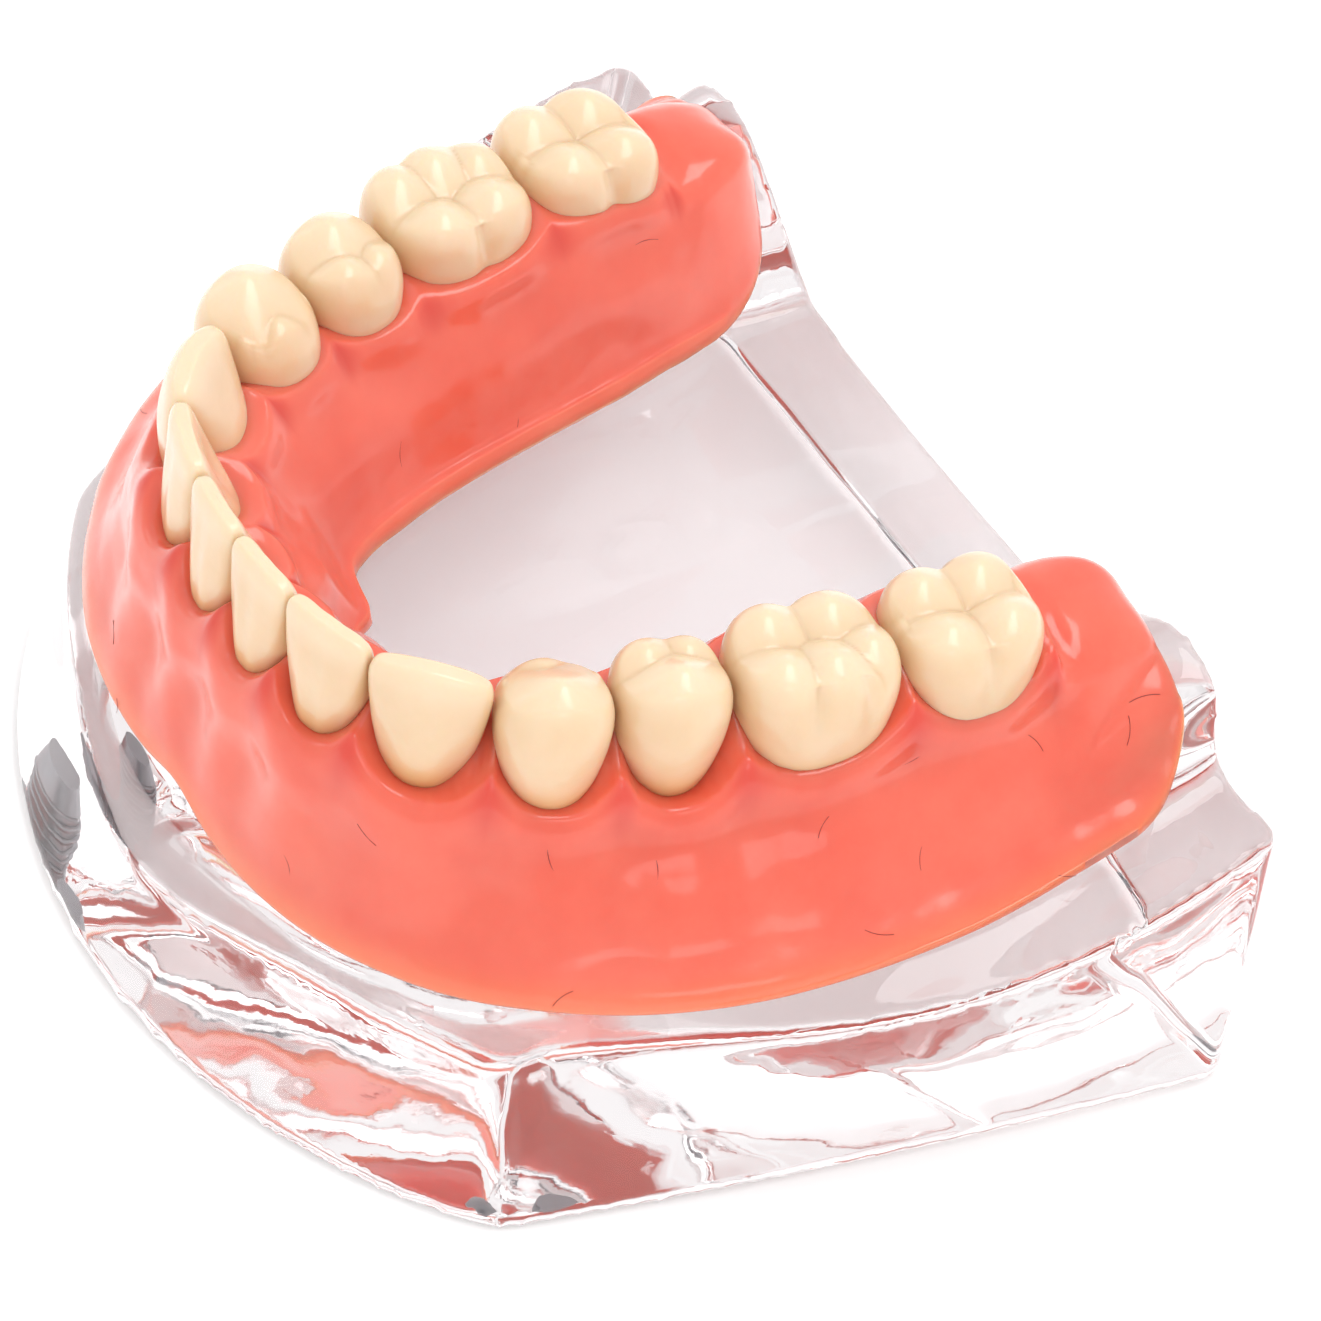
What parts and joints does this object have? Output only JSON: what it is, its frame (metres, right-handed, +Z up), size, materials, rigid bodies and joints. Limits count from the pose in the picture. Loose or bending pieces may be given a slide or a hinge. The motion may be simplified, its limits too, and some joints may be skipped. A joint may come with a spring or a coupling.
{
  "type": "dental overdenture model",
  "caption": "Clear acrylic lower-jaw model with implants on ball abutments, and a pink removable overdenture with ivory teeth that lifts off.",
  "frame": {"origin": "centre of the model's bounding box in plan, on the flat foot that it stands on", "axes": "+X to the patient's left, across the back of the jaw (the longest side); -Y to the front teeth; +Z up, towards the biting edges"},
  "size_m": [0.076, 0.0582, 0.0345],
  "materials": {
    "clear_acrylic": "polished clear cast acrylic",
    "pink_acrylic": "polished translucent acrylic with fine red fibres",
    "tooth_resin": "satin glaze, yellower at the necks",
    "implant_titanium": "matt turned titanium",
    "abutment_gold": "polished gold-coloured nitride",
    "cap_steel": "polished",
    "ring_rubber": "matt"
  },
  "bodies": {
    "base": {"jaw_base": "clear_acrylic", "implant_left_canine": "implant_titanium", "implant_left_premolar": "implant_titanium", "implant_right_canine": "implant_titanium", "implant_right_premolar": "implant_titanium", "abutment_left_canine": "abutment_gold", "abutment_left_premolar": "abutment_gold", "abutment_right_canine": "abutment_gold", "abutment_right_premolar": "abutment_gold"},
    "denture": {"denture_base": "pink_acrylic", "left_central_incisor": "tooth_resin", "left_lateral_incisor": "tooth_resin", "left_canine": "tooth_resin", "left_first_premolar": "tooth_resin", "left_second_premolar": "tooth_resin", "left_first_molar": "tooth_resin", "left_second_molar": "tooth_resin", "right_central_incisor": "tooth_resin", "right_lateral_incisor": "tooth_resin", "right_canine": "tooth_resin", "right_first_premolar": "tooth_resin", "right_second_premolar": "tooth_resin", "right_first_molar": "tooth_resin", "right_second_molar": "tooth_resin", "cap_left_canine": "cap_steel", "cap_left_premolar": "cap_steel", "cap_right_canine": "cap_steel", "cap_right_premolar": "cap_steel", "ring_left_canine": "ring_rubber", "ring_left_premolar": "ring_rubber", "ring_right_canine": "ring_rubber", "ring_right_premolar": "ring_rubber"}
  },
  "joints": [
    {"name": "denture_lift", "type": "slide", "parent": "base", "child": "denture", "axis": [0, 0, 1], "range_m": [0, 0.03]}
  ]
}
